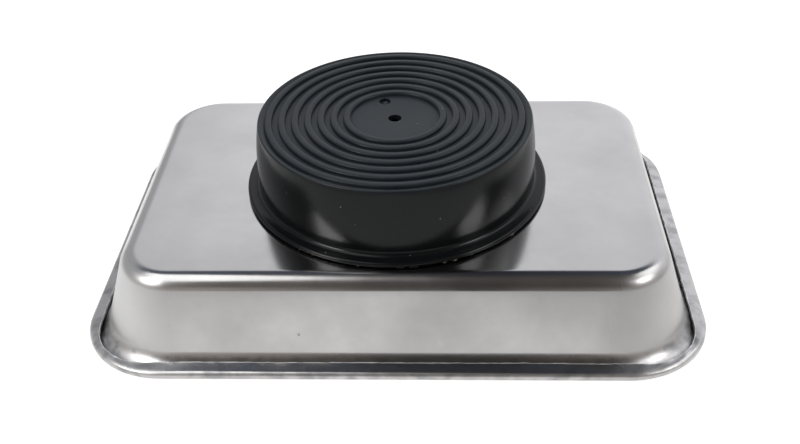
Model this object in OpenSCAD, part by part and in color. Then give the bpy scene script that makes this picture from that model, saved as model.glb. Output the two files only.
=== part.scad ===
// Magnetic parts tray, stored as it is photographed: mouth down on its folded rim, magnet base up.
// Origin at the centre of the rim plane, X along the tray's length, Z up. Sizes in millimetres.

/* [Tray pan] */
// Length of the tray over its folded rim
tray_length = 150; // [120:1:220]
// Width of the tray over its folded rim
tray_width = 104; // [104:1:160]
// Height from the rim plane to the outer face of the plate
pan_height = 21.7; // [18:0.1:26]
// Thickness of the stainless sheet
sheet_t = 0.6; // [0.4:0.1:1]
// Outer corner radius of the folded rim
rim_corner_r = 21; // [18:0.5:26]
// Height of the folded rim
hem_h = 2.6; // [2.4:0.1:3.4]
// Gap between the raw edge of the folded rim and the wall, along the sides
hem_gap = 0.4; // [0.2:0.05:0.8]
// Width of the folded rim at the middle of a corner
hem_corner_w = 2.4; // [2:0.1:3.2]
// Distance from the rim's outer edge in to the line where the wall would reach the rim plane
wall_inset = 3.55; // [3.2:0.05:4.5]
// Corner radius of the wall on that line
wall_corner_r = 20; // [17:0.5:24]
// Lean of the wall from upright, in degrees
wall_draft = 19; // [15:0.5:21]
// Bend radius where the wall turns out into the flange, on the outer face
foot_r = 1.8; // [1:0.1:2.5]
// Bend radius where the wall turns into the plate, on the outer face
plate_r = 3.7; // [1.5:0.1:4.5]

/* [Ring magnet] */
// Outer diameter of the ferrite ring
magnet_d = 63; // [50:1:63]
// Bore of the ferrite ring
magnet_bore_d = 32; // [28:1:36]
// Thickness of the ferrite ring
magnet_t = 15; // [12:0.5:18]
// Chamfer on the ring's outer edges
magnet_chamfer = 0.6; // [0.2:0.1:1.2]

/* [Retainer cup] */
// Sheet thickness of the retainer
retainer_t = 1.2; // [0.8:0.1:1.6]
// Diameter of the brim that lies on the ring
brim_d = 46; // [42:1:54]
// Bend radius under the brim
bend_r = 0.8; // [0.4:0.1:1.2]
// Gap between the retainer's crown and the ring's bore
bore_gap = 0.3; // [0.1:0.05:0.6]
// Gap under the retainer's floor, so that the nut pulls the brim down on the ring
floor_gap = 0.3; // [0.1:0.05:0.6]

/* [Stud, washers and nut] */
// Thread diameter of the weld stud
stud_d = 5; // [4:0.5:6]
// How far the stud stands out past its nut
stud_past_nut = 2; // [1:0.5:4]
// How far the weld collar stands out round the stud
collar_w = 0.75; // [0.4:0.05:1.2]
// Height of the weld collar
collar_t = 0.8; // [0.4:0.1:1.2]
// Clearance round the weld collar in the retainer's floor
collar_gap = 0.25; // [0.1:0.05:0.5]
// Clearance between the stud and the nut's thread
thread_gap = 0.05; // [0.02:0.01:0.1]
// Clearance between the stud and the washers
washer_gap = 0.15; // [0.1:0.05:0.4]
// Width of the plain washer's ring
washer_w = 3.35; // [2:0.05:5]
// Thickness of the plain washer
washer_t = 1; // [0.6:0.1:1.6]
// Width of the spring washer's ring
spring_w = 1.9; // [1.4:0.1:2.4]
// Thickness of the spring washer
spring_t = 1.2; // [0.8:0.1:1.6]
// Width of the split in the spring washer
spring_split = 0.8; // [0.4:0.1:1.4]
// Slant of the split from upright, in degrees
spring_slant = 25; // [0:1:40]
// Width of the nut across its flats
nut_flats = 8; // [7.5:0.1:11]
// Height of the nut
nut_t = 4; // [3:0.1:6]
// Chamfer on the nut's corners and bore
nut_chamfer = 0.5; // [0.2:0.05:0.8]

/* [Boot] */
// Gap between the ring and the boot
boot_gap = 0.3; // [0.1:0.05:0.6]
// Thickness of the boot's wall at its widest
boot_wall = 3.2; // [2.4:0.05:3.5]
// Thickness of the boot's face over the retainer, under its outermost ridge
boot_face_t = 2; // [2:0.1:4]
// Radius of the wall's barrel curve
barrel_r = 63; // [40:1:120]
// Height of the barrel's widest place over the plate
barrel_mid = 7; // [7:0.5:11]
// Radius on the edge of the face
boot_edge_r = 0.4; // [0.2:0.1:0.4]
// How far the flange stands out from the barrel's widest place
boot_flange_out = 3; // [2.4:0.05:3.4]
// Thickness of the flange
boot_flange_t = 1.2; // [0.8:0.1:1.6]
// Radius where the wall meets the flange
boot_foot_r = 1.2; // [0.6:0.1:1.6]
// Diameter of the vent hole in the face
vent_d = 3.3; // [2:0.1:5]
// Gap between the retainer's brim and its recess in the boot
brim_gap = 0.5; // [0.2:0.1:1]

/* [Boot ridges] */
// Number of concentric ridges
ridge_count = 7; // [4:1:8]
// Width of a ridge at its base
ridge_w = 1.9; // [1.5:0.1:2.2]
// Height of a ridge
ridge_h = 0.8; // [0.4:0.05:1.2]
// Lean of a ridge's sides from upright, in degrees
ridge_draft = 12; // [5:1:20]
// Diameter of the innermost ridge at its middle
ridge_first_d = 23.8; // [18:0.1:28]
// Distance from the face's edge in to the middle of the outermost ridge
ridge_margin = 2.7; // [2.2:0.05:4]
// Width of the flat strip along the edge of the face
face_rim_w = 0.5; // [0.5:0.05:1.2]
// How far the face rises from its outermost ridge to that strip
edge_rise = 0.45; // [0.2:0.05:0.8]
// How far the face sinks from its outermost ridge to its middle
face_dish = 0.7; // [0:0.05:1]
// Diameter of the moulding mark on the face
gate_d = 2.6; // [1:0.1:3.2]
// Depth of the moulding mark
gate_depth = 0.4; // [0.2:0.1:0.8]
// Distance of the moulding mark from the centre
gate_out = 8.6; // [5:0.1:9.2]
// Direction of the moulding mark from X, in degrees
gate_angle = 109; // [0:1:359]

/* [Adhesive] */
// Thickness of the adhesive film under the boot's flange
adhesive_t = 0.3; // [0.1:0.05:0.5]
// How far the film stays back from the edges that it joins
adhesive_back = 0.5; // [0.2:0.1:1]

/* [Hidden] */
$fn = 96;
// Flats that stand for a bend of the pan's wall
bend_steps = 10;
// Spare length of a cutting shape past what it cuts
over = 1;

// Section of the pan, measured outwards from the foot of the wall
wall_in = [cos(wall_draft), sin(wall_draft)];
foot_y = sheet_t + foot_r;
foot_c = [micron((foot_r - foot_y * wall_in.y) / wall_in.x), foot_y];
plate_y = pan_height - plate_r;
plate_c = [micron(-(plate_r + plate_y * wall_in.y) / wall_in.x), plate_y];
rim_half = [tray_length, tray_width] / 2;
wall_half = rim_half - [wall_inset, wall_inset];
hem_r = hem_h / 2;
hem_w = wall_inset + (hem_h - sheet_t) * tan(wall_draft) - hem_gap;
// A ring that is the hem's width in from the rim, with the corner radius that leaves the hem its corner width
raw_edge_r = rim_corner_r - (sqrt(2) * hem_w - hem_corner_w) / (sqrt(2) - 1);

// Heights over the plate, and radii, of the magnet base
magnet_r = magnet_d / 2;
crown_r = magnet_bore_d / 2 - bore_gap;
floor_top = floor_gap + retainer_t;
washer_top = floor_top + washer_t;
spring_top = washer_top + spring_t;
nut_top = spring_top + nut_t;
brim_top = magnet_t + retainer_t;
collar_d = stud_d + 2 * collar_w;
washer_bore_d = stud_d + 2 * washer_gap;

// Section of the boot
cavity_r = magnet_r + boot_gap;
boot_r = cavity_r + boot_wall;
flange_r = boot_r + boot_flange_out;
flange_top = adhesive_t + boot_flange_t;
flange_flat_r = flange_r - boot_flange_t / 2;
face_z = brim_top + boot_face_t;
barrel_c = [boot_r - barrel_r, barrel_mid];
face_top = face_z + edge_rise;
face_r = barrel_x(barrel_r, face_top);
edge_c = [barrel_x(barrel_r - boot_edge_r, face_top - boot_edge_r), face_top - boot_edge_r];
boot_foot_y = flange_top + boot_foot_r;
boot_foot_c = [barrel_x(barrel_r + boot_foot_r, boot_foot_y), boot_foot_y];
ridge_lean = ridge_h * tan(ridge_draft);
ridge_first_r = ridge_first_d / 2;
ridge_last_r = face_r - ridge_margin;
ridge_pitch = (ridge_last_r - ridge_first_r) / (ridge_count - 1);

// Where a circle of radius r round the barrel's centre stands at height y
function barrel_x(r, y) = barrel_c.x + sqrt(pow(r, 2) - pow(y - barrel_c.y, 2));

// Height of the dished face at a distance r from its middle
function dish_y(r) = face_z - face_dish * (1 - r / ridge_last_r);

// Unit vector in a direction given in degrees
function along(angle) = [cos(angle), sin(angle)];

// A length to the nearest micron, so that the flat strips of the pan meet its bends exactly
function micron(length) = round(1000 * length) / 1000;

// Points along an arc between two directions
function arc(centre, r, from, to) =
    [for (i = [0:bend_steps]) centre + r * along(from + (to - from) * i / bend_steps)];

// Slice of a disc of radius r between two directions, with its arc well outside that radius
module wedge(r, from, to) {
    steps = ceil((to - from) / 45);
    polygon(concat([[0, 0]], [for (i = [0:steps]) 2 * r * along(from + (to - from) * i / steps)]));
}

// Bent strip of sheet: outer radius r, thickness t, between two directions
module bend(r, t, from, to) {
    intersection() {
        difference() {
            circle(r);
            circle(r - t);
        }
        wedge(r, from, to);
    }
}

// Rectangle with round corners, from its half sizes
module round_rect(half, r) {
    square([2 * half.x, 2 * (half.y - r)], center = true);
    square([2 * (half.x - r), 2 * half.y], center = true);
    for (x = [-1, 1], y = [-1, 1])
        translate([x * (half.x - r), y * (half.y - r)])
            circle(r);
}

// Sweep of a section round a rectangle with round corners: section X is outwards, section Y is up
module sweep(half, r) {
    for (x = [0, 1], y = [0, 1])
        mirror([x, 0, 0]) mirror([0, y, 0])
            translate([half.x - r, half.y - r, 0])
                rotate_extrude(angle = 90)
                    translate([r, 0]) children();
    for (side = [0, 1]) {
        mirror([side, 0, 0])
            translate([half.x, half.y - r, 0]) rotate([90, 0, 0])
                linear_extrude(2 * (half.y - r)) children();
        mirror([0, side, 0])
            translate([r - half.x, half.y, 0]) rotate([90, 0, 90])
                linear_extrude(2 * (half.x - r)) children();
    }
}

// Foot bend, drafted wall and plate bend as one strip of sheet
module wall_section() {
    polygon(concat(
        arc(foot_c, foot_r, 270, 180 + wall_draft),
        arc(plate_c, plate_r, wall_draft, 90),
        arc(plate_c, plate_r - sheet_t, 90, wall_draft),
        arc(foot_c, foot_r + sheet_t, 180 + wall_draft, 270)
    ));
}

// Half-round fold at the rim's outer edge
module fold_section() {
    translate([-hem_r, hem_r]) bend(hem_r, sheet_t, -90, 90);
}

// Flat strip under the fold, out from the foot of the wall
module flange_ring() {
    linear_extrude(sheet_t) difference() {
        round_rect(rim_half - [hem_r, hem_r], rim_corner_r - hem_r);
        round_rect(wall_half + [foot_c.x, foot_c.x], wall_corner_r + foot_c.x);
    }
}

// Flat strip that the fold brings back towards the wall, up to its raw edge
module hem_ring() {
    translate([0, 0, hem_h - sheet_t]) linear_extrude(sheet_t) difference() {
        round_rect(rim_half - [hem_r, hem_r], rim_corner_r - hem_r);
        round_rect(rim_half - [hem_w, hem_w], raw_edge_r);
    }
}

// Flat plate between the plate bends
module plate() {
    translate([0, 0, pan_height - sheet_t])
        linear_extrude(sheet_t)
            round_rect(wall_half + [plate_c.x, plate_c.x], wall_corner_r + plate_c.x);
}

// Pan pressed from one stainless sheet
module tray_pan() {
    color("#C3C6C9") {
        plate();
        sweep(wall_half, wall_corner_r) wall_section();
        flange_ring();
        sweep(rim_half, rim_corner_r) fold_section();
        hem_ring();
    }
}

// Stud welded to the middle of the plate, with its collar of weld metal
module weld_stud() {
    tip = nut_top + stud_past_nut;
    color("#A9ABAD") translate([0, 0, pan_height]) rotate_extrude() polygon([
        [0, 0], [collar_d / 2, 0], [collar_d / 2, collar_t], [stud_d / 2, collar_t],
        [stud_d / 2, tip - nut_chamfer], [stud_d / 2 - nut_chamfer, tip], [0, tip]
    ]);
}

// Ferrite ring that lies on the plate, its bore edges eased for the retainer's bend
module ring_magnet() {
    bore_r = magnet_bore_d / 2;
    ease = bend_r + bore_gap;
    c = magnet_chamfer;
    color("#3A3A3C") translate([0, 0, pan_height]) rotate_extrude() polygon([
        [bore_r + ease, 0], [magnet_r - c, 0], [magnet_r, c], [magnet_r, magnet_t - c],
        [magnet_r - c, magnet_t], [bore_r + ease, magnet_t], [bore_r, magnet_t - ease], [bore_r, ease]
    ]);
}

// Dished retainer: brim on the ring, crown through its bore, floor under the nut
module retainer_cup() {
    wall_x = crown_r - retainer_t;
    bend_c = [crown_r + bend_r, magnet_t - bend_r];
    floor_bend_r = bend_r + retainer_t;
    floor_c = [crown_r - floor_bend_r, floor_gap + floor_bend_r];
    hole_r = collar_d / 2 + collar_gap;
    color("#B9B7AE") translate([0, 0, pan_height]) rotate_extrude() {
        translate([bend_c.x, magnet_t]) square([brim_d / 2 - bend_c.x, retainer_t]);
        translate(bend_c) bend(bend_r + retainer_t, retainer_t, 90, 180);
        translate([wall_x, floor_c.y]) square([retainer_t, bend_c.y - floor_c.y]);
        translate(floor_c) bend(floor_bend_r, retainer_t, -90, 0);
        translate([hole_r, floor_gap]) square([floor_c.x - hole_r, retainer_t]);
    }
}

// Washer on the retainer's floor
module plain_washer() {
    color("#C8C8C4") translate([0, 0, pan_height + floor_top]) difference() {
        cylinder(h = washer_t, d = washer_bore_d + 2 * washer_w);
        translate([0, 0, -over]) cylinder(h = washer_t + 2 * over, d = washer_bore_d);
    }
}

// Split washer, pressed flat under the nut
module spring_washer() {
    color("#77787A") translate([0, 0, pan_height + washer_top]) difference() {
        cylinder(h = spring_t, d = washer_bore_d + 2 * spring_w);
        translate([0, 0, -over]) cylinder(h = spring_t + 2 * over, d = washer_bore_d);
        translate([washer_bore_d / 2 + spring_w / 2, 0, spring_t / 2]) rotate([spring_slant, 0, 0])
            cube([spring_w + 2 * over, spring_split, 3 * spring_t], center = true);
    }
}

// Hexagon nut with chamfered corners and bore
module hex_nut() {
    bore_r = stud_d / 2 + thread_gap;
    corner_r = nut_flats / 2 / cos(30);
    c = nut_chamfer;
    color("#C8C8C4") translate([0, 0, pan_height + spring_top]) intersection() {
        cylinder(h = nut_t, r = corner_r, $fn = 6);
        rotate_extrude() polygon([
            [bore_r + c, 0], [corner_r - c, 0], [corner_r, c], [corner_r, nut_t - c],
            [corner_r - c, nut_t], [bore_r + c, nut_t], [bore_r, nut_t - c], [bore_r, c]
        ]);
    }
}

// Film of cured adhesive between the plate and the boot's flange
module adhesive_ring() {
    color("#C9C4B4") translate([0, 0, pan_height]) difference() {
        cylinder(h = adhesive_t, r = flange_flat_r - adhesive_back);
        translate([0, 0, -over]) cylinder(h = adhesive_t + 2 * over, r = cavity_r + adhesive_back);
    }
}

// Barrel wall and top of the boot, with its edge rounded
module boot_body_section() {
    edge_from = atan2(edge_c.y - barrel_c.y, edge_c.x - barrel_c.x);
    difference() {
        intersection() {
            translate(barrel_c) circle(barrel_r, $fn = 360);
            translate([0, adhesive_t]) square([boot_r + over, face_top - adhesive_t]);
        }
        translate(edge_c) difference() {
            wedge(2 * boot_edge_r, edge_from, 90);
            circle(boot_edge_r);
        }
    }
}

// Flange of the boot with its round edge, and the fillet up to the wall
module boot_flange_section() {
    touch = barrel_c + (boot_foot_c - barrel_c) * barrel_r / (barrel_r + boot_foot_r);
    flange_mid = adhesive_t + boot_flange_t / 2;
    translate([0, adhesive_t]) square([flange_flat_r, boot_flange_t]);
    translate([flange_flat_r, flange_mid]) circle(boot_flange_t / 2);
    difference() {
        polygon([
            [cavity_r, flange_mid], [boot_foot_c.x, flange_mid], boot_foot_c, touch, [cavity_r, touch.y]
        ]);
        translate(boot_foot_c) circle(boot_foot_r);
    }
}

// Hollow over the dished face, out to the strip along its edge
module face_room_section() {
    rim_in = face_r - face_rim_w;
    rise_from = min(ridge_last_r + ridge_w / 2, rim_in - ridge_lean);
    polygon([
        [0, dish_y(0)], [ridge_last_r, face_z], [rise_from, face_z], [rim_in, face_top],
        [rim_in, face_top + over], [0, face_top + over]
    ]);
}

// Ridge with leaning sides and a flat crest, its root sunk in the face
module ridge_section() {
    half = ridge_w / 2;
    root = ridge_h / 4;
    polygon([
        [-half, -root], [half, -root], [half, 0], [half - ridge_lean, ridge_h], [ridge_lean - half, ridge_h],
        [-half, 0]
    ]);
}

// Room inside the boot: the ring, the retainer's brim and the vent
module boot_room_section() {
    translate([0, -over]) square([cavity_r, magnet_t + over]);
    translate([0, -over]) square([brim_d / 2 + brim_gap, brim_top + over]);
    translate([0, -over]) square([vent_d / 2, face_top + 2 * over]);
}

// Boot moulded from soft black plastic
module rubber_boot() {
    color("#2B2E31") translate([0, 0, pan_height]) difference() {
        rotate_extrude() difference() {
            union() {
                difference() {
                    boot_body_section();
                    face_room_section();
                }
                boot_flange_section();
                for (i = [0:ridge_count - 1])
                    let (r = ridge_first_r + i * ridge_pitch)
                        translate([r, dish_y(r)]) ridge_section();
            }
            boot_room_section();
        }
        rotate(gate_angle) translate([gate_out, 0, dish_y(gate_out) - gate_depth])
            cylinder(h = gate_depth + over, d = gate_d);
    }
}

tray_pan();
weld_stud();
ring_magnet();
retainer_cup();
plain_washer();
spring_washer();
hex_nut();
adhesive_ring();
rubber_boot();
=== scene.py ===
# A magnetic parts tray lying mouth down, with its magnet base up.
# The sections follow the way it is put together: pan, magnet pack, adhesive, boot, then the studio.
import math

import bmesh
import bpy
from mathutils import Matrix, Vector


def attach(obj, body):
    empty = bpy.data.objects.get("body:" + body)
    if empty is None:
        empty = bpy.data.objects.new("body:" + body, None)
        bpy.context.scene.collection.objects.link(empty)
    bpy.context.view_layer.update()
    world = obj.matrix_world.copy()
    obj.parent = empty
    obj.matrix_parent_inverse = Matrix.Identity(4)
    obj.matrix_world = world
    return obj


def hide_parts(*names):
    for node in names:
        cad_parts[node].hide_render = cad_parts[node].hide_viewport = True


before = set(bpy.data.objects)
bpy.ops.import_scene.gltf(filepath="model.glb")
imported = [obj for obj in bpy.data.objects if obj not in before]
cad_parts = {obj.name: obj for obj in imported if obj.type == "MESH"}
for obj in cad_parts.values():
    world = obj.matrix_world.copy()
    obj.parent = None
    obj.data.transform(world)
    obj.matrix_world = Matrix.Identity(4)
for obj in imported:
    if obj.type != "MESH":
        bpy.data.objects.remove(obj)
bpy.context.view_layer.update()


# The pan: one blank of thin stainless sheet, drawn in a press to a flat plate and a slightly hollow leaning
# wall. Its edge flares into a sloping rim that is folded up and back on itself, so that the raw edge of the
# sheet ends just short of the wall. The sheet is drawn here along its middle and thickened at the end.
MM = 0.001
TINY = 0.001 * MM
SHEET = 0.6 * MM

# its section at the right-hand end: the centres of the bends, and leans and slopes in degrees
PLATE_MID_Z = 21.4 * MM
PLATE_BEND_X = 61.0854 * MM
PLATE_BEND_Z = 17.35 * MM
PLATE_BEND_STEPS = 16
WALL_TOP_LEAN = 17.5
WALL_FOOT_LEAN = 19.3
WALL_HOLLOW_X = 518.2443 * MM
WALL_HOLLOW_Z = 161.4917 * MM
WALL_STEPS = 9
FOOT_BEND_X = 75.7876 * MM
FOOT_BEND_Z = 6.5455 * MM
FOOT_BEND_STEPS = 12
FLARE_SLOPE = 30.0
FOLD_X = 73.85 * MM
FOLD_Z = 1.15 * MM
FOLD_R = 0.85 * MM
FOLD_STEPS = 14
STRIP_SLOPE = 12.5
RAW_EDGE_X = 71.6 * MM
RAW_EDGE_Z = 2.52 * MM

# the centres of the turns at its corners, and how finely the turns and half of each side are divided
WALL_CORNER = Vector((51.45, 28.45, 0.0)) * MM
RIM_CORNER = Vector((54.0, 31.0, 0.0)) * MM
RAW_CORNER = Vector((57.773, 34.773, 0.0)) * MM
TURN_STEPS = 30
LONG_STEPS = 54
SHORT_STEPS = 31


def start_line(name, place):
    """A new object in edit mode that is one point, from which a section is drawn."""
    bpy.ops.object.select_all(action="DESELECT")
    bpy.ops.mesh.primitive_plane_add(size=MM, enter_editmode=True, location=(0, 0, 0))
    drawn = bpy.context.object
    drawn.name = name
    bpy.ops.mesh.select_all(action="SELECT")
    bpy.ops.mesh.merge(type="CENTER")
    bpy.ops.transform.translate(value=place)
    return drawn


def pull(offset, steps=1):
    """Extrudes what is selected along a straight line."""
    for _ in range(steps):
        bpy.ops.mesh.extrude_region_move(TRANSFORM_OT_translate={"value": Vector(offset) / steps})


def turn(degrees, centre, axis, steps):
    """Extrudes what is selected round an axis. The operator counts the angle clockwise."""
    bpy.ops.mesh.spin(steps=steps, angle=-math.radians(degrees), center=centre, axis=axis)


def pick(drawn, wanted):
    """Selects the points for which wanted(point) is true, and the edges and faces between them."""
    bpy.ops.mesh.select_all(action="DESELECT")
    shape = bmesh.from_edit_mesh(drawn.data)
    for point in shape.verts:
        point.select = bool(wanted(point))
    shape.select_flush(True)
    bmesh.update_edit_mesh(drawn.data)


def sweep_quarter(drawn, corner):
    """Takes a section round one corner of the pan, and along half of each side next to it."""
    bpy.ops.mesh.select_all(action="SELECT")
    turn(90, corner, (0, 0, 1), TURN_STEPS)
    pull((-corner.x, 0, 0), LONG_STEPS)
    pick(drawn, lambda point: abs(point.co.y - corner.y) < TINY and point.co.x > corner.x + TINY)
    pull((0, -corner.y, 0), SHORT_STEPS)


def apply_modifier(kind, **settings):
    """Adds a modifier to the active object, sets it and applies it."""
    bpy.ops.object.modifier_add(type=kind)
    added = bpy.context.object.modifiers[-1]
    for key, value in settings.items():
        setattr(added, key, value)
    bpy.ops.object.modifier_apply(modifier=added.name)


def weight_group(shape, name, weights):
    """A vertex group with the weight that weights(point) gives, where it isn't zero."""
    group = shape.vertex_groups.new(name=name)
    for point in shape.data.vertices:
        weight = weights(point.co)
        if weight > 0:
            group.add([point.index], min(weight, 1.0), "REPLACE")


def join_into(kept, *others):
    """Joins other objects into one, which stays active, in edit mode."""
    bpy.ops.object.mode_set(mode="OBJECT")
    bpy.ops.object.select_all(action="DESELECT")
    for drawn in (kept, *others):
        drawn.select_set(True)
    bpy.context.view_layer.objects.active = kept
    bpy.ops.object.join()
    bpy.ops.object.mode_set(mode="EDIT")


def mirror_quarter():
    """Mirrors the active object's quarter to a whole ring and merges the seams."""
    bpy.ops.object.mode_set(mode="OBJECT")
    apply_modifier("MIRROR", use_axis=(True, True, False), merge_threshold=10 * TINY)
    bpy.ops.object.mode_set(mode="EDIT")
    bpy.ops.mesh.select_all(action="SELECT")
    bpy.ops.mesh.remove_doubles(threshold=TINY)


# fold: a little over half a turn, up from the flared edge of the wall, and the raw edge as a line of its own,
# because it turns the corners more tightly than the fold does
fold_from = Vector((FOLD_X - FOLD_R * math.sin(math.radians(FLARE_SLOPE)), RIM_CORNER.y,
                    FOLD_Z - FOLD_R * math.cos(math.radians(FLARE_SLOPE))))
fold_end_z = FOLD_Z + FOLD_R * math.cos(math.radians(STRIP_SLOPE))
hem = start_line("folded_rim", fold_from)
turn(STRIP_SLOPE - FLARE_SLOPE - 180, (FOLD_X, RIM_CORNER.y, FOLD_Z), (0, 1, 0), FOLD_STEPS)
sweep_quarter(hem, RIM_CORNER)
bpy.ops.object.mode_set(mode="OBJECT")
raw_edge = start_line("raw_edge", (RAW_EDGE_X, RAW_CORNER.y, RAW_EDGE_Z))
sweep_quarter(raw_edge, RAW_CORNER)
join_into(hem, raw_edge)
pick(hem, lambda point: min(abs(point.co.z - fold_end_z), abs(point.co.z - RAW_EDGE_Z)) < TINY)
bpy.ops.mesh.bridge_edge_loops(number_cuts=3, interpolation="LINEAR")
mirror_quarter()

# The strip wasn't pressed quite flat: it dips where it is narrow, at the corners, it wanders along the
# sides, and the sheet that was left over at the corners stands up there in small puckers.
CORNER_DIP = 0.33 * MM
WANDER_H = 0.4 * MM
WANDER_SIZE = 17 * MM
PUCKER_H = 1.0 * MM
PUCKER_SIZE = 2.8 * MM
DENT_H = 0.22 * MM
DENT_SIZE = 4.5 * MM
EDGE_RAGGED = 0.09 * MM


def lift_of(co):
    """How far a point lies across the strip, from 0 at the fold to 1 at the raw edge."""
    return (co.z - fold_end_z) / (RAW_EDGE_Z - fold_end_z)


def at_corner(co):
    """1 in the middle of a corner's turn, and 0 on the straight sides."""
    turned = math.atan2(abs(co.y) - RIM_CORNER.y, abs(co.x) - RIM_CORNER.x)
    inside = abs(co.y) > RIM_CORNER.y and abs(co.x) > RIM_CORNER.x
    return math.sin(2 * turned) if inside else 0.0


def clouds(name, size, depth):
    """A soft noise for a Displace modifier, with lumps of a given size."""
    noise = bpy.data.textures.new(name, "CLOUDS")
    noise.noise_scale = size
    noise.noise_depth = depth
    return noise


bpy.ops.object.mode_set(mode="OBJECT")
weight_group(hem, "strip", lift_of)
weight_group(hem, "corner_strip", lambda co: lift_of(co) * at_corner(co))
weight_group(hem, "corner_fold", lambda co: at_corner(co) * (co.z - fold_from.z) / FOLD_Z)
apply_modifier("DISPLACE", strength=-CORNER_DIP, mid_level=0.0, direction="Z", vertex_group="corner_strip")
apply_modifier("DISPLACE", strength=WANDER_H, mid_level=0.5, direction="Z", vertex_group="strip",
               texture=clouds("strip_wander", WANDER_SIZE, 1))
apply_modifier("DISPLACE", strength=PUCKER_H, mid_level=0.5, direction="Z", vertex_group="corner_strip",
               texture=clouds("corner_puckers", PUCKER_SIZE, 1))
apply_modifier("DISPLACE", strength=DENT_H, mid_level=0.5, vertex_group="corner_fold",
               texture=clouds("corner_dents", DENT_SIZE, 0))
bpy.ops.object.mode_set(mode="EDIT")
pick(hem, lambda point: point.is_boundary and point.co.z > FOLD_Z)
bpy.ops.transform.vertex_random(offset=EDGE_RAGGED, uniform=0.5, normal=0.0, seed=7)
bpy.ops.object.mode_set(mode="OBJECT")

# wall: down over the plate's bend, along the hollow wall and out round its foot to the fold
pan = start_line("pressed_pan", (PLATE_BEND_X, WALL_CORNER.y, PLATE_MID_Z))
turn(90 - WALL_TOP_LEAN, (PLATE_BEND_X, WALL_CORNER.y, PLATE_BEND_Z), (0, 1, 0), PLATE_BEND_STEPS)
turn(WALL_TOP_LEAN - WALL_FOOT_LEAN, (WALL_HOLLOW_X, WALL_CORNER.y, WALL_HOLLOW_Z), (0, 1, 0), WALL_STEPS)
turn(WALL_FOOT_LEAN + FLARE_SLOPE - 90, (FOOT_BEND_X, WALL_CORNER.y, FOOT_BEND_Z), (0, 1, 0), FOOT_BEND_STEPS)
sweep_quarter(pan, WALL_CORNER)
mirror_quarter()

# the two are joined along the rim, closed with the plate and given the sheet's thickness
PLATE_INSET = 0.4 * MM
PAN_SMOOTH = math.radians(35)
join_into(pan, hem)
pick(pan, lambda point: point.is_boundary and point.co.z < FOLD_Z)
bpy.ops.mesh.bridge_edge_loops(number_cuts=3, interpolation="LINEAR")
pick(pan, lambda point: abs(point.co.z - PLATE_MID_Z) < TINY)
bpy.ops.mesh.edge_face_add()
bpy.ops.mesh.inset(thickness=PLATE_INSET)
bpy.ops.mesh.select_all(action="SELECT")
bpy.ops.mesh.normals_make_consistent(inside=False)
bpy.ops.object.mode_set(mode="OBJECT")
apply_modifier("SOLIDIFY", thickness=SHEET, offset=0.0, use_even_offset=True, use_quality_normals=True)
bpy.ops.object.shade_smooth_by_angle(angle=PAN_SMOOTH)
apply_modifier("WEIGHTED_NORMAL", keep_sharp=True)
pan.vertex_groups.clear()


def linear(code):
    """An sRGB hex colour as the linear colour that a socket takes."""
    parts = [int(code[i:i + 2], 16) / 255 for i in (1, 3, 5)]
    return [c / 12.92 if c <= 0.04045 else ((c + 0.055) / 1.055) ** 2.4 for c in parts] + [1.0]


def put(tree, kind, sockets=None, **settings):
    """Adds a node, sets it, and sets its sockets or links them from sockets or nodes given for them."""
    added = tree.nodes.new(kind)
    for key, value in settings.items():
        setattr(added, key, value)
    for key, value in (sockets or {}).items():
        if isinstance(value, bpy.types.Node):
            value = next(output for output in value.outputs if output.enabled)
        if isinstance(value, bpy.types.NodeSocket):
            tree.links.new(value, added.inputs[key])
        else:
            added.inputs[key].default_value = value
    return added


def new_material(name):
    """A node material, its tree, its shader and its Object coordinates."""
    made = bpy.data.materials.new(name)
    made.use_nodes = True
    tree = made.node_tree
    return made, tree, tree.nodes["Principled BSDF"], put(tree, "ShaderNodeTexCoord").outputs["Object"]


# Cold-rolled stainless, bright finish: a clear but soft mirror. Handling leaves fine scuffs, drawn coarser
# here so that they show, greasy marks that dull it in patches, a finger print on the front wall and specks
# of dirt. Drawing roughens the corners, and folding the rim leaves a mottled grain there.
SMEAR_SIZE = 16 * MM
PATCH_SIZE = 45 * MM
SCUFF_SIZE = 0.9 * MM
SCUFF_DEPTH = 0.02 * MM
MOTTLE_SIZE = 3.5 * MM
DIRT_GAP = 13 * MM
PRINT_PLACE = Vector((11.1, -49.2, 7.4)) * MM
PRINT_R = 3.3 * MM
PRINT_SOFT = 0.6 * MM
RIM_END_Z = 3.9 * MM
RIM_FULL_Z = 3.1 * MM
CREASE_END_Z = 2.3 * MM
CREASE_FULL_Z = 1.9 * MM
PLATE_END_Z = 20.9 * MM
PLATE_FULL_Z = 21.65 * MM
TURN_SOFT = 8 * MM
BURR_OUT = 0.06 * MM
BURR_REACH = 0.14 * MM
TURN_ROUGH = 0.36
FOLD_ROUGH = 0.4
BURR_ROUGH = 0.5
stainless, tree, shader, place = new_material("bright_rolled_stainless")
shader.inputs["Metallic"].default_value = 1.0
smear = put(tree, "ShaderNodeTexNoise", {"Vector": place, "Scale": 1 / SMEAR_SIZE, "Detail": 5.0,
                                         "Roughness": 0.62})
wide = put(tree, "ShaderNodeTexNoise", {"Vector": place, "Scale": 1 / PATCH_SIZE, "Detail": 2.0})
scuffs = put(tree, "ShaderNodeTexNoise", {"Vector": place, "Scale": 1 / SCUFF_SIZE, "Detail": 3.0})
mottle = put(tree, "ShaderNodeTexNoise", {"Vector": place, "Scale": 1 / MOTTLE_SIZE, "Detail": 4.0})
dirt = put(tree, "ShaderNodeTexVoronoi", {"Vector": place, "Scale": 1 / DIRT_GAP})

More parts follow.
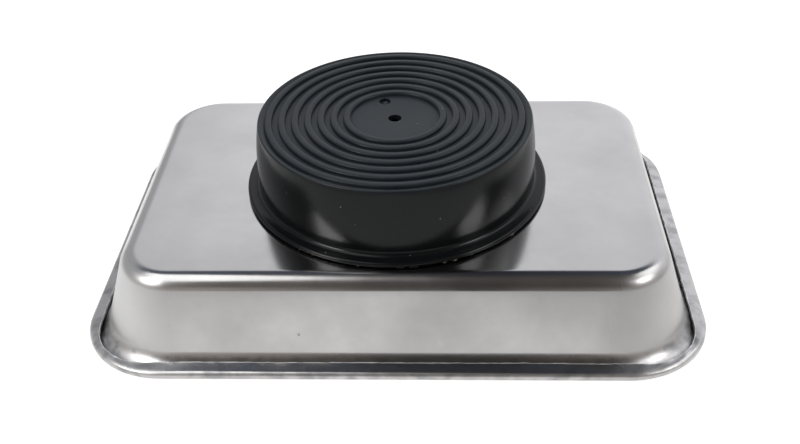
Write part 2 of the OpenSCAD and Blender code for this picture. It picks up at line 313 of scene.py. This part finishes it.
# places on the pan: rim, fold and plate by height, the corners' turns, and the burr along the raw edge
height = put(tree, "ShaderNodeSeparateXYZ", {"Vector": place}).outputs["Z"]
on_rim = put(tree, "ShaderNodeMapRange", {"Value": height, "From Min": RIM_END_Z, "From Max": RIM_FULL_Z})
on_fold = put(tree, "ShaderNodeMapRange", {"Value": height, "From Min": CREASE_END_Z,
                                           "From Max": CREASE_FULL_Z})
on_plate = put(tree, "ShaderNodeMapRange", {"Value": height, "From Min": PLATE_END_Z,
                                            "From Max": PLATE_FULL_Z})
quarter = put(tree, "ShaderNodeVectorMath", {0: place}, operation="ABSOLUTE")
past_wall = put(tree, "ShaderNodeVectorMath", {0: quarter, 1: WALL_CORNER}, operation="SUBTRACT")
past_axes = put(tree, "ShaderNodeSeparateXYZ", {"Vector": past_wall})
past_both = put(tree, "ShaderNodeMath", {0: past_axes.outputs["X"], 1: past_axes.outputs["Y"]},
                operation="MINIMUM")
on_turn = put(tree, "ShaderNodeMapRange", {"Value": past_both, "From Min": -TURN_SOFT, "From Max": TURN_SOFT},
              interpolation_type="SMOOTHSTEP")
past_raw = put(tree, "ShaderNodeVectorMath", {0: quarter, 1: RAW_CORNER}, operation="SUBTRACT")
past_flat = put(tree, "ShaderNodeVectorMath", {0: past_raw, 1: (1, 1, 0)}, operation="MULTIPLY")
past_out = put(tree, "ShaderNodeVectorMath", {0: past_flat, 1: (0, 0, 0)}, operation="MAXIMUM")
reach = put(tree, "ShaderNodeVectorMath", {0: past_out}, operation="LENGTH")
at_edge = put(tree, "ShaderNodeMath", {0: reach, 1: RAW_EDGE_X - RAW_CORNER.x + BURR_OUT, 2: BURR_REACH},
              operation="COMPARE")
on_burr = put(tree, "ShaderNodeMath", {0: at_edge, 1: on_rim}, operation="MULTIPLY")

# roughness: least on the plate, more on the wall, and most where the sheet was drawn, folded or cut
plate_rough = put(tree, "ShaderNodeMapRange", {"Value": smear, "From Min": 0.35, "From Max": 0.7,
                                               "To Min": 0.13, "To Max": 0.18})
wall_rough = put(tree, "ShaderNodeMapRange", {"Value": smear, "From Min": 0.35, "From Max": 0.7,
                                              "To Min": 0.18, "To Max": 0.25})
rim_rough = put(tree, "ShaderNodeMapRange", {"Value": mottle, "From Min": 0.3, "From Max": 0.7,
                                             "To Min": 0.13, "To Max": 0.2})
pressed = put(tree, "ShaderNodeMix", {"Factor": on_rim, "A": wall_rough, "B": rim_rough}, data_type="FLOAT")
stretched = put(tree, "ShaderNodeMix", {"Factor": on_turn, "A": pressed, "B": TURN_ROUGH}, data_type="FLOAT")
creased = put(tree, "ShaderNodeMix", {"Factor": on_fold, "A": stretched, "B": FOLD_ROUGH}, data_type="FLOAT")
formed = put(tree, "ShaderNodeMix", {"Factor": on_plate, "A": creased, "B": plate_rough}, data_type="FLOAT")
torn = put(tree, "ShaderNodeMix", {"Factor": on_burr, "A": formed, "B": BURR_ROUGH}, data_type="FLOAT")
tree.links.new(torn.outputs["Result"], shader.inputs["Roughness"])

# colour: two close greys in wide patches, the finger print, dirt, the mottled rim and the bright burr
patches = put(tree, "ShaderNodeMath", {0: smear, 1: 0.5, 2: wide}, operation="MULTIPLY_ADD")
worn = put(tree, "ShaderNodeMapRange", {"Value": patches, "From Min": 0.5, "From Max": 1.0})
greys = put(tree, "ShaderNodeMix", {"Factor": worn, "A": linear("#BDBDBD"), "B": linear("#ABAAA9")},
            data_type="RGBA")
from_print = put(tree, "ShaderNodeVectorMath", {0: place, 1: PRINT_PLACE}, operation="DISTANCE")
print_mark = put(tree, "ShaderNodeMapRange", {"Value": from_print, "From Min": PRINT_R,
                                              "From Max": PRINT_R - PRINT_SOFT, "To Max": 0.35})
printed = put(tree, "ShaderNodeMix", {"Factor": print_mark, "A": greys, "B": linear("#CFCECC")},
              data_type="RGBA")
spots = put(tree, "ShaderNodeMapRange", {"Value": dirt, "From Min": 0.03, "From Max": 0.02, "To Max": 0.5})
spotted = put(tree, "ShaderNodeMix", {"Factor": spots, "A": printed, "B": linear("#5C5A58")},
              data_type="RGBA")
rubbed = put(tree, "ShaderNodeMapRange", {"Value": mottle, "From Min": 0.45, "From Max": 0.65,
                                          "To Max": on_rim})
worked = put(tree, "ShaderNodeMix", {"Factor": rubbed, "A": spotted, "B": linear("#979798")},
             data_type="RGBA")
burr = put(tree, "ShaderNodeMix", {"Factor": on_burr, "A": worked, "B": linear("#DADAD8")},
           data_type="RGBA")
tree.links.new(burr.outputs["Result"], shader.inputs["Base Color"])
scuffed = put(tree, "ShaderNodeBump", {"Height": scuffs, "Strength": 0.06, "Distance": SCUFF_DEPTH})
tree.links.new(scuffed.outputs["Normal"], shader.inputs["Normal"])
pan.data.materials.append(stainless)
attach(pan, "root")
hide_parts("tray_pan")


# The magnet pack under the boot: a stud welded to the plate, the ring magnet over it, and a dished retainer
# that a nut draws down on the ring, with a plain and a split washer between. None of it shows from outside,
# so the solids keep their shape and only take a finish.
def plain_finish(name, dark, light, grain, metal, roughness):
    """A finish of two close tones in grains of a given size, for pieces that show little or nothing."""
    made, tree, shader, place = new_material(name)
    grains = put(tree, "ShaderNodeTexNoise", {"Vector": place, "Scale": 1 / grain, "Detail": 3.0})
    tones = put(tree, "ShaderNodeMix", {"Factor": grains, "A": linear(dark), "B": linear(light)},
                data_type="RGBA")
    tree.links.new(tones.outputs["Result"], shader.inputs["Base Color"])
    uneven = put(tree, "ShaderNodeMapRange", {"Value": grains, "To Min": roughness - 0.08,
                                              "To Max": roughness + 0.08})
    tree.links.new(uneven.outputs["Result"], shader.inputs["Roughness"])
    shader.inputs["Metallic"].default_value = metal
    return made


drawn_steel = plain_finish("drawn_steel", "#8E8E90", "#A6A6A8", grain=0.6 * MM, metal=1.0, roughness=0.38)
ferrite = plain_finish("ground_ferrite", "#2B2B2D", "#3A3A3C", grain=0.9 * MM, metal=0.0, roughness=0.55)
zinc = plain_finish("bright_zinc_plate", "#B9BABB", "#CBCBC4", grain=1.5 * MM, metal=1.0, roughness=0.3)
blackened = plain_finish("blackened_spring_steel", "#39393B", "#4A4A4C", grain=0.7 * MM, metal=1.0,
                         roughness=0.42)
finishes = {
    "weld_stud": drawn_steel,
    "ring_magnet": ferrite,
    "retainer_cup": zinc,
    "plain_washer": zinc,
    "spring_washer": blackened,
    "hex_nut": zinc,
}
for node, finish in finishes.items():
    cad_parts[node].data.materials.clear()
    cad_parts[node].data.materials.append(finish)


# The adhesive: a film of contact cement under the boot's flange. It is pale when cured. Pressing the boot on
# squeezed it out unevenly, so that in places a thin lip of it shows under the flange's round edge.
PLATE_TOP = 21.7 * MM
CEMENT_IN_R = 32.3 * MM
CEMENT_OUT_R = 36.9 * MM
CEMENT_T = 0.3 * MM
CEMENT_LIP = 0.15 * MM
SQUEEZE = 4.2 * MM
SQUEEZE_SIZE = 3.0 * MM
CEMENT_STEPS = 360
cement_film = start_line("cement_film", (CEMENT_IN_R, 0, PLATE_TOP))
pull((CEMENT_OUT_R - CEMENT_IN_R, 0, 0))
pull((CEMENT_LIP, 0, CEMENT_T / 2))
pull((-CEMENT_LIP, 0, CEMENT_T / 2))
pull((CEMENT_IN_R - CEMENT_OUT_R, 0, 0))
pull((0, 0, -CEMENT_T))
bpy.ops.mesh.select_all(action="SELECT")
turn(360, (0, 0, 0), (0, 0, 1), CEMENT_STEPS)
bpy.ops.mesh.select_all(action="SELECT")
bpy.ops.mesh.remove_doubles(threshold=TINY)
bpy.ops.mesh.normals_make_consistent(inside=False)
bpy.ops.object.mode_set(mode="OBJECT")
weight_group(cement_film, "lip", lambda co: co.xy.length > CEMENT_OUT_R + CEMENT_LIP / 2)
apply_modifier("DISPLACE", strength=SQUEEZE, mid_level=0.53, vertex_group="lip",
               texture=clouds("squeezed_out", SQUEEZE_SIZE, 2))
cement_film.vertex_groups.clear()
cement = plain_finish("cured_contact_cement", "#C9C2B0", "#DDD8CB", grain=0.8 * MM, metal=0.0,
                      roughness=0.45)
cement_film.data.materials.append(cement)
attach(cement_film, "root")
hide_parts("adhesive_ring")


# The boot: one moulding in soft black plastic, with a ridged and slightly dished face, a barrel-shaped wall
# and a thin flange that is glued to the plate. The hole in the middle lets air out when it is pushed on.
# Its heights are over the plate.
FLANGE_UNDER = 0.3 * MM
FLANGE_TOP = 1.5 * MM
FLANGE_FLAT_R = 37.4 * MM
FLANGE_STEPS = 8
FILLET_X = 36.056 * MM
FILLET_R = 1.2 * MM
FILLET_STEPS = 6
BARREL_X = -28.0 * MM
BARREL_Z = 7.0 * MM
BARREL_R = 63.0 * MM
BARREL_STEPS = 14
FACE_EDGE_Z = 18.65 * MM
EDGE_R = 0.4 * MM
EDGE_STEPS = 5
EDGE_STRIP_R = 33.4135 * MM
FLOOR_FLAT_R = 31.2135 * MM
FLOOR_OUT_Z = 18.2 * MM
FLOOR_MID_Z = 17.5 * MM
FLOOR_STEPS = 5
CAVITY_R = 31.8 * MM
CAVITY_TOP = 15.0 * MM
BRIM_ROOM_R = 23.5 * MM
BRIM_ROOM_TOP = 16.2 * MM
VENT_R = 1.65 * MM
RIDGES = 7
RIDGE_FIRST_R = 11.9 * MM
RIDGE_BASE = 1.9 * MM
RIDGE_CREST = 1.56 * MM
RIDGE_H = 0.8 * MM
RIDGE_ROUND = 0.3 * MM
BOOT_STEPS = 180


def floor_z(radius):
    """Height of the dished floor of the face over the plate."""
    return FLOOR_MID_Z + (FLOOR_OUT_Z - FLOOR_MID_Z) * min(radius / FLOOR_FLAT_R, 1.0)


pen = Vector((VENT_R, 0, BRIM_ROOM_TOP))
boot = start_line("moulded_boot", pen + Vector((0, 0, PLATE_TOP)))


def line_to(x, z, steps=1):
    """Draws the boot's section on to a radius and a height over the plate."""
    aim = Vector((x, 0, z))
    pull(aim - pen, steps)
    pen.xyz = aim


# its section, from the vent out over the ridged face, down the wall, round the flange and back inside
line_to(VENT_R, floor_z(VENT_R))
ridge_points = []
for i in range(RIDGES):
    middle = RIDGE_FIRST_R + (FLOOR_FLAT_R - RIDGE_FIRST_R) * i / (RIDGES - 1)
    inner = middle - RIDGE_BASE / 2
    outer = middle + RIDGE_BASE / 2
    crest_z = floor_z(middle) + RIDGE_H
    line_to(inner, floor_z(inner), FLOOR_STEPS if i == 0 else 1)
    line_to(middle - RIDGE_CREST / 2, crest_z)
    ridge_points.append(pen.copy())
    line_to(middle + RIDGE_CREST / 2, crest_z)
    ridge_points.append(pen.copy())
    line_to(outer, floor_z(outer))
line_to(EDGE_STRIP_R, FACE_EDGE_Z, 2)
edge_z = FACE_EDGE_Z - EDGE_R
edge_x = BARREL_X + math.sqrt((BARREL_R - EDGE_R) ** 2 - (edge_z - BARREL_Z) ** 2)
line_to(edge_x, FACE_EDGE_Z)
barrel_from = math.degrees(math.atan2(edge_z - BARREL_Z, edge_x - BARREL_X))
turn(90 - barrel_from, Vector((edge_x, 0, PLATE_TOP + edge_z)), (0, 1, 0), EDGE_STEPS)
fillet_z = FLANGE_TOP + FILLET_R
barrel_to = math.degrees(math.atan2(fillet_z - BARREL_Z, FILLET_X - BARREL_X))
turn(barrel_from - barrel_to, Vector((BARREL_X, 0, PLATE_TOP + BARREL_Z)), (0, 1, 0), BARREL_STEPS)
turn(-90 - barrel_to, Vector((FILLET_X, 0, PLATE_TOP + fillet_z)), (0, 1, 0), FILLET_STEPS)
pen.xyz = (FILLET_X, 0, FLANGE_TOP)
line_to(FLANGE_FLAT_R, FLANGE_TOP)
flange_round = (FLANGE_TOP - FLANGE_UNDER) / 2
turn(180, Vector((FLANGE_FLAT_R, 0, PLATE_TOP + FLANGE_UNDER + flange_round)), (0, 1, 0), FLANGE_STEPS)
pen.xyz = (FLANGE_FLAT_R, 0, FLANGE_UNDER)
line_to(CAVITY_R, FLANGE_UNDER)
line_to(CAVITY_R, CAVITY_TOP)
line_to(BRIM_ROOM_R, CAVITY_TOP)
line_to(BRIM_ROOM_R, BRIM_ROOM_TOP)
line_to(VENT_R, BRIM_ROOM_TOP)


def on_ridge_edge(point):
    """True at the section's sharp ridge corners, which the mould leaves slightly round."""
    lifted = Vector((0, 0, PLATE_TOP))
    return any((point.co - lifted - corner).length < TINY for corner in ridge_points)


pick(boot, on_ridge_edge)
bpy.ops.mesh.bevel(offset=RIDGE_ROUND, segments=3, affect="VERTICES")
bpy.ops.mesh.select_all(action="SELECT")
bpy.ops.mesh.remove_doubles(threshold=TINY)
bpy.ops.mesh.select_all(action="SELECT")
turn(360, (0, 0, 0), (0, 0, 1), BOOT_STEPS)
bpy.ops.mesh.select_all(action="SELECT")
bpy.ops.mesh.remove_doubles(threshold=TINY)
bpy.ops.mesh.normals_make_consistent(inside=False)
bpy.ops.object.mode_set(mode="OBJECT")

# the mark where the plastic entered the mould: a ragged pit with the stub of the sprue standing in it
GATE_R = 1.45 * MM
GATE_DEPTH = 0.7 * MM
GATE_CUT = 1.2 * MM
GATE_OUT = 8.6 * MM
GATE_TURN = math.radians(109)
GATE_RAGGED = 0.12 * MM
STUB_IN = 0.6 * MM
STUB_SIDE = 0.15 * MM
STUB_LEAN = 0.15 * MM
STUB_H = 0.3 * MM
BOOT_SMOOTH = math.radians(32)
gate_floor = PLATE_TOP + floor_z(GATE_OUT) - GATE_DEPTH
gate_at = Vector((GATE_OUT * math.cos(GATE_TURN), GATE_OUT * math.sin(GATE_TURN), gate_floor))
bpy.ops.object.select_all(action="DESELECT")
bpy.ops.mesh.primitive_cylinder_add(vertices=22, radius=GATE_R, depth=GATE_CUT, enter_editmode=True,
                                    location=(0, 0, 0))
gate = bpy.context.object
bpy.ops.mesh.select_all(action="SELECT")
bpy.ops.transform.translate(value=gate_at + Vector((0, 0, GATE_CUT / 2)))
pick(gate, lambda point: point.co.z < gate_floor + TINY)
bpy.ops.mesh.inset(thickness=STUB_IN)
bpy.ops.mesh.inset(thickness=STUB_SIDE)
bpy.ops.transform.translate(value=(STUB_LEAN, 0, STUB_H))
bpy.ops.mesh.select_all(action="SELECT")
bpy.ops.transform.vertex_random(offset=GATE_RAGGED, uniform=1.0, normal=0.0, seed=3)
bpy.ops.object.mode_set(mode="OBJECT")
bpy.ops.object.select_all(action="DESELECT")
boot.select_set(True)
bpy.context.view_layer.objects.active = boot
apply_modifier("BOOLEAN", operation="DIFFERENCE", object=gate, solver="EXACT")
bpy.data.objects.remove(gate)
bpy.ops.object.shade_smooth_by_angle(angle=BOOT_SMOOTH)

# Soft black plastic, moulded: nearly black. The wall and the flanks of the ridges took a shine from the
# mould, the flats of the face a fine matt grain, drawn coarser here so that it shows. Its colour is painted
# lighter where the face points up and darker on the wall and the flanks, as painted light and shade from
# above. A few dust specks cling to them.
SHADE_SIZE = 9 * MM
GRAIN_SIZE = 0.35 * MM
GRAIN_DEPTH = 0.03 * MM
DUST_GAP = 4 * MM
FACE_FULL_R = 33.8 * MM
FACE_END_R = 34.1 * MM
SKIN_MIRROR = 0.16
black_plastic, tree, shader, place = new_material("moulded_soft_black_plastic")
shader.inputs["Specular IOR Level"].default_value = SKIN_MIRROR
shades = put(tree, "ShaderNodeTexNoise", {"Vector": place, "Scale": 1 / SHADE_SIZE, "Detail": 4.0})
grain = put(tree, "ShaderNodeTexNoise", {"Vector": place, "Scale": 1 / GRAIN_SIZE, "Detail": 2.0})
dust = put(tree, "ShaderNodeTexVoronoi", {"Vector": place, "Scale": 1 / DUST_GAP})
flat_place = put(tree, "ShaderNodeVectorMath", {0: place, 1: (1, 1, 0)}, operation="MULTIPLY")
out_from_axis = put(tree, "ShaderNodeVectorMath", {0: flat_place}, operation="LENGTH")
on_face = put(tree, "ShaderNodeMapRange", {"Value": out_from_axis, "From Min": FACE_END_R,
                                           "From Max": FACE_FULL_R})
surface = put(tree, "ShaderNodeNewGeometry")
facing = put(tree, "ShaderNodeSeparateXYZ", {"Vector": surface.outputs["Normal"]}).outputs["Z"]
# painted light and shade: how far the surface points up, on the face only, picks the lighter painted tone and
# the higher roughness
up_facing_lit_and_matt = put(tree, "ShaderNodeMapRange", {"Value": facing, "From Min": -0.3, "From Max": 0.95,
                                           "To Max": on_face})
# the two tones are lit and shaded copies of the one black plastic: painted shade on the wall and the ridges'
# flanks, painted light on the flats that face up
side_shade_tone = put(tree, "ShaderNodeMix", {"Factor": shades, "A": linear("#0A0C0D"), "B": linear("#111314")},
                data_type="RGBA")
up_facing_lit_tone = put(tree, "ShaderNodeMix", {"Factor": shades, "A": linear("#1E2327"), "B": linear("#292F33")},
                data_type="RGBA")
tone_painted_by_facing = put(tree, "ShaderNodeMix", {"Factor": up_facing_lit_and_matt, "A": side_shade_tone, "B": up_facing_lit_tone}, data_type="RGBA")
specks = put(tree, "ShaderNodeMapRange", {"Value": dust, "From Min": 0.045, "From Max": 0.03, "To Max": 0.6})
dusty = put(tree, "ShaderNodeMix", {"Factor": specks, "A": tone_painted_by_facing, "B": linear("#8A8B88")}, data_type="RGBA")
tree.links.new(dusty.outputs["Result"], shader.inputs["Base Color"])
wall_gloss = put(tree, "ShaderNodeMapRange", {"Value": shades, "From Min": 0.3, "From Max": 0.7,
                                              "To Min": 0.16, "To Max": 0.23})
face_gloss = put(tree, "ShaderNodeMapRange", {"Value": shades, "From Min": 0.3, "From Max": 0.7,
                                              "To Min": 0.36, "To Max": 0.46})
gloss = put(tree, "ShaderNodeMix", {"Factor": up_facing_lit_and_matt, "A": wall_gloss, "B": face_gloss}, data_type="FLOAT")
tree.links.new(gloss.outputs["Result"], shader.inputs["Roughness"])
grained = put(tree, "ShaderNodeBump", {"Height": grain, "Strength": 0.25, "Distance": GRAIN_DEPTH})
tree.links.new(grained.outputs["Normal"], shader.inputs["Normal"])
boot.data.materials.append(black_plastic)
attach(boot, "root")
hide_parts("rubber_boot")


# The studio: a white table and a lit backdrop behind it, an oval soft light overhead at the left, a round one
# at the right, and a small lamp on each side of the camera. The table also has an emission that only camera,
# glossy and transmission rays see, painted as a patch of light round the tray. The room on the camera's side
# stays dim, which the steel shows as its dark bands.
TABLE_SIZE = 8.0
TABLE_DROP = 0.05 * MM
POOL_FULL = 0.25
POOL_END = 0.36
POOL_GLOW = 0.66
POOL_PAST = 0.02
POOL_TAPER = 1.5
POOL_LEAN = (0.15, -1.0, 0.0)
bpy.ops.object.select_all(action="DESELECT")
bpy.ops.mesh.primitive_plane_add(size=TABLE_SIZE, location=(0, 0, -TABLE_DROP))
table = bpy.context.object
table.name = "table"
table_white, tree, shader, place = new_material("matt_white_table")
shader.inputs["Base Color"].default_value = linear("#CBCAC9")
shader.inputs["Roughness"].default_value = 0.9
shader.inputs["Specular IOR Level"].default_value = 0.0
ray = put(tree, "ShaderNodeLightPath")
in_view = put(tree, "ShaderNodeMath", {0: ray.outputs["Is Camera Ray"], 1: ray.outputs["Is Glossy Ray"]},
              operation="MAXIMUM")
seen = put(tree, "ShaderNodeMath", {0: in_view, 1: ray.outputs["Is Transmission Ray"]}, operation="MAXIMUM")
# painted light: the emission that camera, glossy and transmission rays see is full round the tray and falls
# off towards the front and both sides, a little sooner at the right
ahead = put(tree, "ShaderNodeVectorMath", {0: place, 1: POOL_LEAN}, operation="DOT_PRODUCT")
either_side = put(tree, "ShaderNodeVectorMath", {0: place}, operation="ABSOLUTE")
aside = put(tree, "ShaderNodeSeparateXYZ", {"Vector": either_side}).outputs["X"]
away = put(tree, "ShaderNodeMath", {0: aside, 1: POOL_TAPER, 2: ahead}, operation="MULTIPLY_ADD")
painted_pool = put(tree, "ShaderNodeMapRange", {"Value": away, "From Min": POOL_FULL, "From Max": POOL_END,
                                        "To Min": POOL_GLOW, "To Max": POOL_PAST},
           interpolation_type="SMOOTHSTEP")
painted_glow = put(tree, "ShaderNodeMath", {0: seen, 1: painted_pool}, operation="MULTIPLY")
shader.inputs["Emission Color"].default_value = linear("#FFFFFF")
tree.links.new(painted_glow.outputs["Value"], shader.inputs["Emission Strength"])
table.data.materials.append(table_white)


def soft_box(name, place, aim, width, height, power):
    """A flat oval soft light that faces a point, its sizes in metres and its power in watts."""
    lamp = bpy.data.lights.new(name, "AREA")
    lamp.shape = "ELLIPSE"
    lamp.size = width
    lamp.size_y = height
    lamp.energy = power
    holder = bpy.data.objects.new(name, lamp)
    bpy.context.scene.collection.objects.link(holder)
    holder.location = place
    holder.rotation_euler = (Vector(place) - Vector(aim)).to_track_quat("Z", "Y").to_euler()


soft_box("left_box", (-0.45, -0.20, 0.90), (-0.45, -0.20, 0), width=0.66, height=0.82, power=2.9)
soft_box("left_lamp", (-0.60, -0.43, 0.52), (0, 0, 0), width=0.3, height=0.3, power=3.7)
soft_box("right_box", (0.69, 0.07, 0.72), (0, 0, 0), width=0.55, height=0.55, power=1.6)
soft_box("right_lamp", (0.68, -0.34, 0.49), (0, 0, 0), width=0.3, height=0.3, power=2.3)

# the room by direction: x to the right, y away from the camera and z up, each from -1 to 1
room = bpy.data.worlds.new("studio_room")
bpy.context.scene.world = room
room.use_nodes = True
tree = room.node_tree
direction = put(tree, "ShaderNodeTexCoord").outputs["Generated"]
axes = put(tree, "ShaderNodeSeparateXYZ", {"Vector": direction})
sideways = put(tree, "ShaderNodeMath", {0: axes.outputs["X"]}, operation="ABSOLUTE")

# the backdrop: up to about 45 degrees behind the tray, and darker at its left end
BACK_END_Y = -0.1
BACK_FULL_Y = 0.35
BACKDROP_END_Z = 0.788
BACKDROP_FULL_Z = 0.656
BACKDROP_LEFT_X = -0.5
BACKDROP_LIGHT_X = -0.12
BACKDROP_LEFT = 0.6
BACKDROP_LIGHT = 1.22
behind = put(tree, "ShaderNodeMapRange", {"Value": axes.outputs["Y"], "From Min": BACK_END_Y,
                                          "From Max": BACK_FULL_Y}, interpolation_type="SMOOTHSTEP")
below_top = put(tree, "ShaderNodeMapRange", {"Value": axes.outputs["Z"], "From Min": BACKDROP_END_Z,
                                             "From Max": BACKDROP_FULL_Z}, interpolation_type="SMOOTHSTEP")
on_backdrop = put(tree, "ShaderNodeMath", {0: behind, 1: below_top}, operation="MULTIPLY")
backdrop = put(tree, "ShaderNodeMapRange", {"Value": axes.outputs["X"], "From Min": BACKDROP_LEFT_X,
                                            "From Max": BACKDROP_LIGHT_X, "To Min": BACKDROP_LEFT,
                                            "To Max": BACKDROP_LIGHT}, interpolation_type="SMOOTHSTEP")

# the rest: dimmest in the middle and at the right, lighter low down at the sides
ROOM_MIDDLE = 0.06
ROOM_SIDE = 0.2
LOW_SIDE_ADDED = 0.35
ROOM_RIGHT_SHARE = 0.72
dim = put(tree, "ShaderNodeMapRange", {"Value": sideways, "From Min": 0.05, "From Max": 0.2,
                                       "To Min": ROOM_MIDDLE, "To Max": ROOM_SIDE})
off_centre = put(tree, "ShaderNodeMapRange", {"Value": sideways, "From Min": 0.05, "From Max": 0.25,
                                              "To Max": LOW_SIDE_ADDED}, interpolation_type="SMOOTHSTEP")
low_down = put(tree, "ShaderNodeMapRange", {"Value": axes.outputs["Z"], "From Min": 0.5, "From Max": 0.2},
               interpolation_type="SMOOTHSTEP")
both_sides = put(tree, "ShaderNodeMath", {0: off_centre, 1: low_down, 2: dim}, operation="MULTIPLY_ADD")
to_right = put(tree, "ShaderNodeMapRange", {"Value": axes.outputs["X"], "From Min": -0.05, "From Max": 0.12,
                                            "To Min": 1.0, "To Max": ROOM_RIGHT_SHARE})
walls = put(tree, "ShaderNodeMath", {0: both_sides, 1: to_right}, operation="MULTIPLY")
level = put(tree, "ShaderNodeMix", {"Factor": on_backdrop, "A": walls, "B": backdrop}, data_type="FLOAT")
wall_tint = put(tree, "ShaderNodeMix", {"Factor": behind, "A": linear("#FFF4EC"), "B": linear("#D2DDF5")},
                data_type="RGBA")
tint = put(tree, "ShaderNodeMix", {"Factor": on_backdrop, "A": wall_tint, "B": linear("#FBFBFF")},
           data_type="RGBA")
background = tree.nodes["Background"]
tree.links.new(tint.outputs["Result"], background.inputs["Color"])
tree.links.new(level.outputs["Result"], background.inputs["Strength"])

# The camera stands in front and looks down at the tray, at the photo's angle. Its angles are in radians.
LENS_PX = 1018.159
FRAME_PX = 800
AIM = Vector((0.4169, 0.0, 7.3505)) * MM
RANGE = 271.085 * MM
LOOK_DOWN = 0.6308
YAW = 0.0523
ROLL = -0.0330
level_back = Vector((math.sin(YAW), -math.cos(YAW), 0.0))
back = level_back * math.cos(LOOK_DOWN) + Vector((0.0, 0.0, math.sin(LOOK_DOWN)))
level_right = Vector((math.cos(YAW), math.sin(YAW), 0.0))
level_up = back.cross(level_right)
side_axis = level_right * math.cos(ROLL) + level_up * math.sin(ROLL)
top_axis = level_up * math.cos(ROLL) - level_right * math.sin(ROLL)
view = bpy.data.cameras.new("photo_camera")
view.sensor_width = 36.0
view.lens = view.sensor_width * LENS_PX / FRAME_PX
camera = bpy.data.objects.new("photo_camera", view)
bpy.context.scene.collection.objects.link(camera)
camera.matrix_world = Matrix((
    (side_axis.x, top_axis.x, back.x, AIM.x + RANGE * back.x),
    (side_axis.y, top_axis.y, back.y, AIM.y + RANGE * back.y),
    (side_axis.z, top_axis.z, back.z, AIM.z + RANGE * back.z),
    (0, 0, 0, 1),
))
bpy.context.scene.camera = camera
bpy.context.scene.view_settings.view_transform = "Standard"
